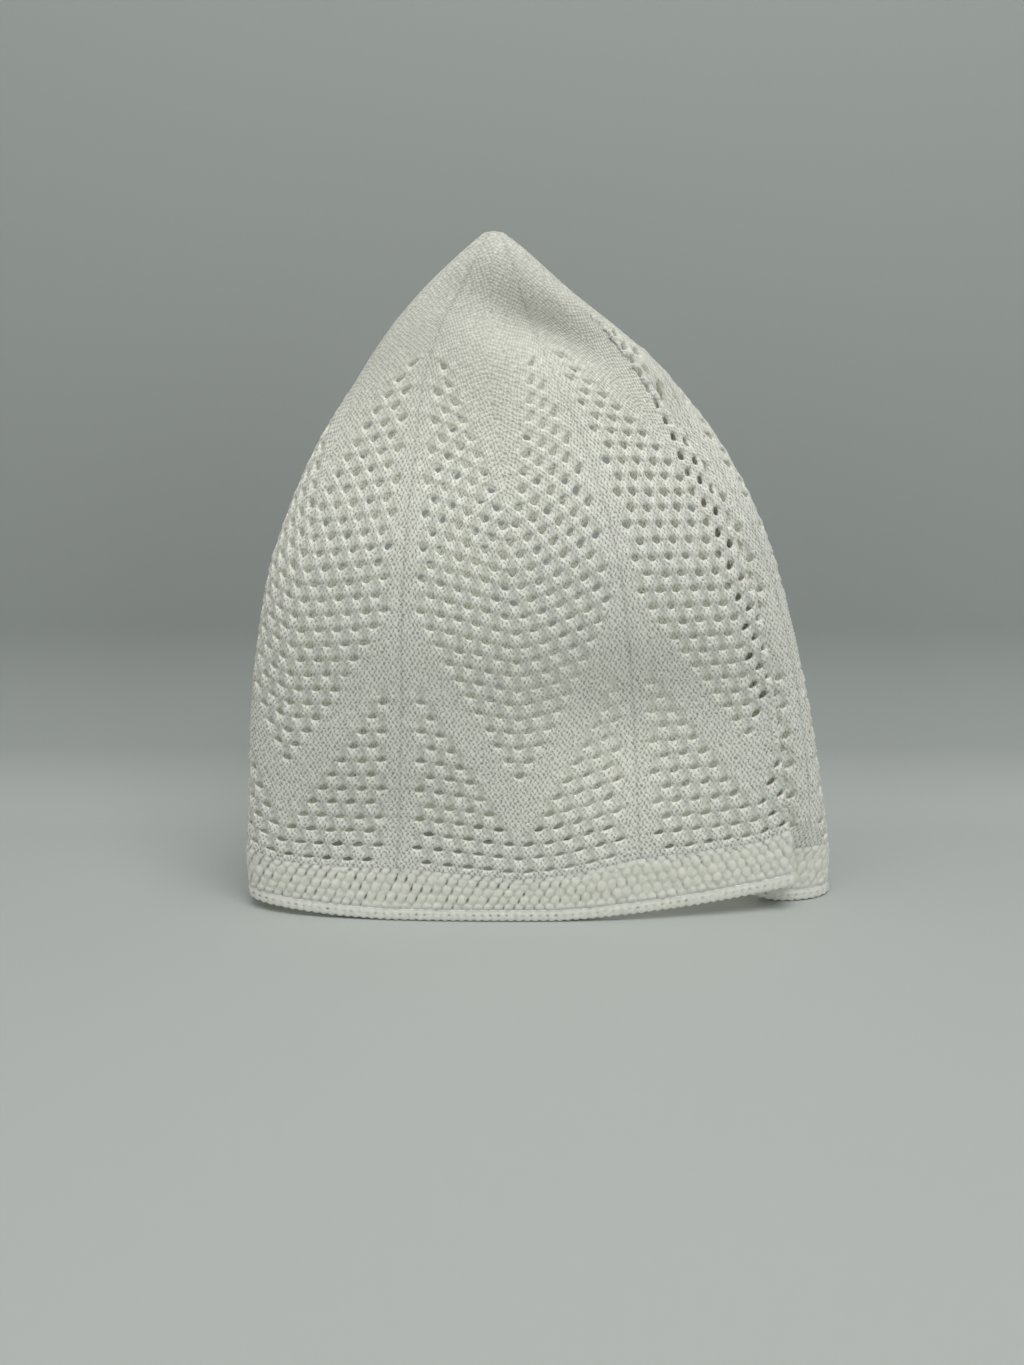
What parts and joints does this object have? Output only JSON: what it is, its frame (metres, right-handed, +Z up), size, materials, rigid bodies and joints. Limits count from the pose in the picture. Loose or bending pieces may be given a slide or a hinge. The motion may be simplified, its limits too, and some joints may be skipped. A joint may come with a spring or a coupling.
{
  "type": "prayer cap",
  "caption": "Pointed openwork knitted prayer cap standing on its rim, with a flat front, a side tuck, a thick rim band and a chain edge.",
  "frame": {"origin": "centre of the bounding box in plan, on the surface the cap stands on", "axes": "+Z up to the tip, -Y out of the flattened front face, +X to the wearer's left, the side with the tuck (the viewer's right)"},
  "size_m": [0.1958, 0.0768, 0.2098],
  "materials": {
    "crown_knit": "fine openwork knit in glossy off-white yarn",
    "band_knit": "thick slanted stitches in the same yarn",
    "edge_yarn": "chain bind-off in the same yarn"
  },
  "bodies": {
    "root": {"crown": "crown_knit", "rim_band": "band_knit", "edge_chain": "edge_yarn"}
  },
  "joints": []
}
